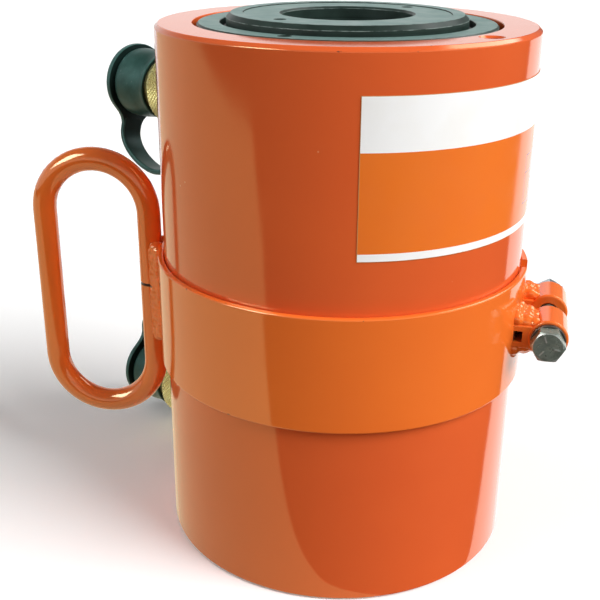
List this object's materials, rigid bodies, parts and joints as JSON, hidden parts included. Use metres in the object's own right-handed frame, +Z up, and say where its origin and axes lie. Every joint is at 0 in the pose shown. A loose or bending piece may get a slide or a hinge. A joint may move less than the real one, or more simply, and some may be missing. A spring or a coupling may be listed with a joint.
{
  "type": "hollow plunger cylinder",
  "caption": "Double-acting hydraulic cylinder with a hollow plunger and through hole, screwed gland, capped couplers and a clamped carrying band with a ring handle.",
  "frame": {"origin": "centre of the through hole at the underside of the base", "axes": "+Z up along the plunger, -X towards the carrying handle, -Y towards the label's left edge and the viewer"},
  "size_m": [0.2476, 0.1838, 0.2342],
  "materials": {
    "orange_paint": "gloss orange enamel",
    "dark_steel": "dark oxide, ground and oiled",
    "bright_steel": "machined steel",
    "zinc_plate": "zinc plate",
    "seal_rubber": "black nitrile",
    "seal_backing": "plain backup ring",
    "bronze": "bronze guide ring",
    "decal": "printed decal without words",
    "yellow_plate": "knurled, yellow plated",
    "cap_rubber": "moulded dark rubber"
  },
  "bodies": {
    "cylinder": {"cylinder_body": "orange_paint", "center_sleeve": "bright_steel", "sleeve_seal": "seal_rubber", "gland_nut": "dark_steel", "gland_bearing": "bronze", "rod_seal": "seal_rubber", "rod_wiper": "seal_rubber", "gland_seal": "seal_rubber", "carry_band": "orange_paint", "carry_handle": "orange_paint", "handle_weld": "orange_paint", "front_lug": "orange_paint", "rear_lug": "orange_paint", "lug_weld": "orange_paint", "clamp_bolt": "zinc_plate", "lock_washer": "dark_steel", "clamp_nut": "zinc_plate", "rating_label": "decal", "upper_coupler_body": "zinc_plate", "upper_coupler_seat": "bright_steel", "upper_poppet_spring": "bright_steel", "upper_face_seal": "seal_rubber", "upper_retaining_ring": "bright_steel", "upper_cap_strap": "cap_rubber", "lower_coupler_body": "zinc_plate", "lower_coupler_seat": "bright_steel", "lower_poppet_spring": "bright_steel", "lower_face_seal": "seal_rubber", "lower_retaining_ring": "bright_steel", "lower_cap_strap": "cap_rubber"},
    "ram": {"plunger": "dark_steel", "saddle_insert": "dark_steel", "piston_seal": "seal_rubber", "piston_backup": "seal_backing", "piston_bearing": "bronze", "inner_seal": "seal_rubber", "inner_bearing": "bronze"},
    "upper_union": {"upper_collar": "yellow_plate"},
    "upper_cap": {"upper_dust_cap": "cap_rubber"},
    "upper_valve": {"upper_poppet": "zinc_plate"},
    "lower_union": {"lower_collar": "yellow_plate"},
    "lower_cap": {"lower_dust_cap": "cap_rubber"},
    "lower_valve": {"lower_poppet": "zinc_plate"}
  },
  "joints": [
    {"name": "plunger_extend", "type": "slide", "parent": "cylinder", "child": "ram", "axis": [0, 0, 1], "range_m": [0, 0.127]},
    {"name": "upper_collar_turn", "type": "hinge", "parent": "cylinder", "child": "upper_union", "pos_m": [-0.0807, 0.05906, 0.1885], "axis": [-0.807, 0.5906, 0], "continuous": true},
    {"name": "upper_cap_pull", "type": "slide", "parent": "cylinder", "child": "upper_cap", "axis": [-0.807, 0.5906, 0], "range_m": [0, 0.03], "deforming": ["upper_cap_strap"]},
    {"name": "upper_poppet_press", "type": "slide", "parent": "cylinder", "child": "upper_valve", "axis": [0.807, -0.5906, 0], "range_m": [0, 0.004], "stiffness_N_per_m": 1500, "deforming": ["upper_poppet_spring"]},
    {"name": "lower_collar_turn", "type": "hinge", "parent": "cylinder", "child": "lower_union", "pos_m": [-0.0807, 0.05906, 0.024], "axis": [-0.807, 0.5906, 0], "continuous": true},
    {"name": "lower_cap_pull", "type": "slide", "parent": "cylinder", "child": "lower_cap", "axis": [-0.807, 0.5906, 0], "range_m": [0, 0.03], "deforming": ["lower_cap_strap"]},
    {"name": "lower_poppet_press", "type": "slide", "parent": "cylinder", "child": "lower_valve", "axis": [0.807, -0.5906, 0], "range_m": [0, 0.004], "stiffness_N_per_m": 1500, "deforming": ["lower_poppet_spring"]}
  ]
}
